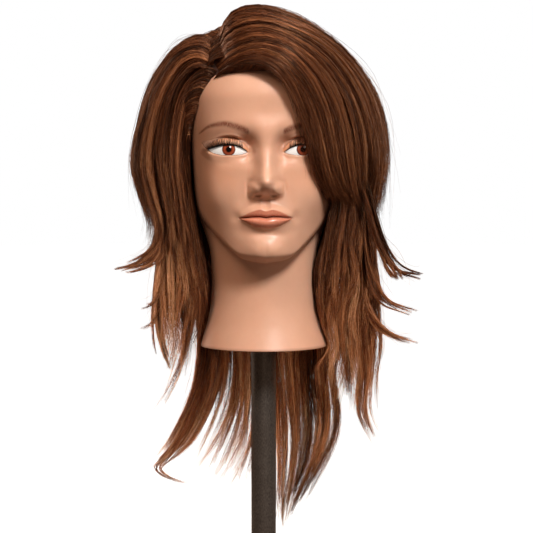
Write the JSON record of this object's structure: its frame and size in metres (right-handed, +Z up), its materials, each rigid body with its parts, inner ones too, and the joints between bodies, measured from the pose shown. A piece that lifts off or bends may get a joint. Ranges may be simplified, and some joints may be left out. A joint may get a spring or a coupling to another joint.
{
  "type": "mannequin training head",
  "caption": "Hairdressing training head with long layered brown hair, on a tube post with a tilting table clamp.",
  "frame": {"origin": "on the post's axis, on the plane of the table top, which is the underside of the fixed jaw's rubber pad", "axes": "+Z up along the post, the face looks along -Y, +X is the head's own left and the table enters the clamp from +Y"},
  "size_m": [0.2996, 0.229, 0.7149],
  "materials": {
    "skin_vinyl": "satin",
    "scalp_vinyl": "matte",
    "brown_hair": "satin",
    "foam": "matte",
    "socket_plastic": "satin",
    "eye_acrylic": "gloss",
    "lash_fibre": "matte",
    "black_powder_coat": "satin",
    "zinc_steel": "satin",
    "brass": "satin",
    "black_plastic": "satin",
    "black_rubber": "matte",
    "nylon": "satin"
  },
  "bodies": {
    "clamp": {"clamp_frame": "black_powder_coat", "upper_jaw_pad": "black_rubber", "tilt_bolt": "zinc_steel", "friction_washers": "nylon", "knob_washer": "zinc_steel"},
    "post": {"post_tube": "black_powder_coat", "post_top_plug": "black_plastic", "drag_ring": "black_rubber", "thrust_washer": "nylon", "post_foot": "black_powder_coat", "roll_pin": "zinc_steel"},
    "head": {"head_skin": "skin_vinyl", "scalp_cap": "scalp_vinyl", "foam_core": "foam", "neck_socket": "socket_plastic", "neck_base_plate": "socket_plastic", "base_plate_screws": "zinc_steel", "left_eye": "eye_acrylic", "right_eye": "eye_acrylic", "left_upper_lashes": "lash_fibre", "right_upper_lashes": "lash_fibre", "hair_top_left": "brown_hair", "hair_top_right": "brown_hair", "hair_crown_back": "brown_hair", "hair_fringe": "brown_hair", "hair_side_left": "brown_hair", "hair_side_right": "brown_hair", "hair_back_centre": "brown_hair", "hair_back_left": "brown_hair", "hair_back_right": "brown_hair"},
    "tilt_knob": {"tilt_knob": "black_plastic", "knob_insert": "brass"},
    "pressure_pad": {"pressure_pad": "zinc_steel", "pressure_pad_facing": "black_rubber"},
    "clamp_screw": {"clamp_screw": "zinc_steel", "pad_retaining_ring": "zinc_steel"},
    "tommy_bar": {"tommy_bar": "zinc_steel", "tommy_bar_caps": "black_plastic"}
  },
  "joints": [
    {"name": "post_tilt", "type": "hinge", "parent": "clamp", "child": "post", "pos_m": [0, 0, 0.038], "axis": [1, 0, 0], "range_deg": [-40, 40]},
    {"name": "head_swivel", "type": "hinge", "parent": "post", "child": "head", "pos_m": [0, 0, 0.3], "axis": [0, 0, 1], "continuous": true},
    {"name": "knob_turn", "type": "hinge", "parent": "clamp", "child": "tilt_knob", "pos_m": [0.027, 0, 0.038], "axis": [1, 0, 0], "range_deg": [0, 360]},
    {"name": "screw_travel", "type": "slide", "parent": "clamp", "child": "pressure_pad", "axis": [0, 0, 1], "range_m": [-0.015, 0.026]},
    {"name": "screw_turn", "type": "hinge", "parent": "pressure_pad", "child": "clamp_screw", "pos_m": [0, 0.008, -0.08], "axis": [0, 0, 1], "range_deg": [-1815, 3140]},
    {"name": "bar_slide", "type": "slide", "parent": "clamp_screw", "child": "tommy_bar", "axis": [1, 0, 0], "range_m": [-0.03, 0.03]}
  ],
  "couplings": [
    {"joint": "screw_turn", "follows": "screw_travel", "rad_per_m": 2094.4}
  ]
}
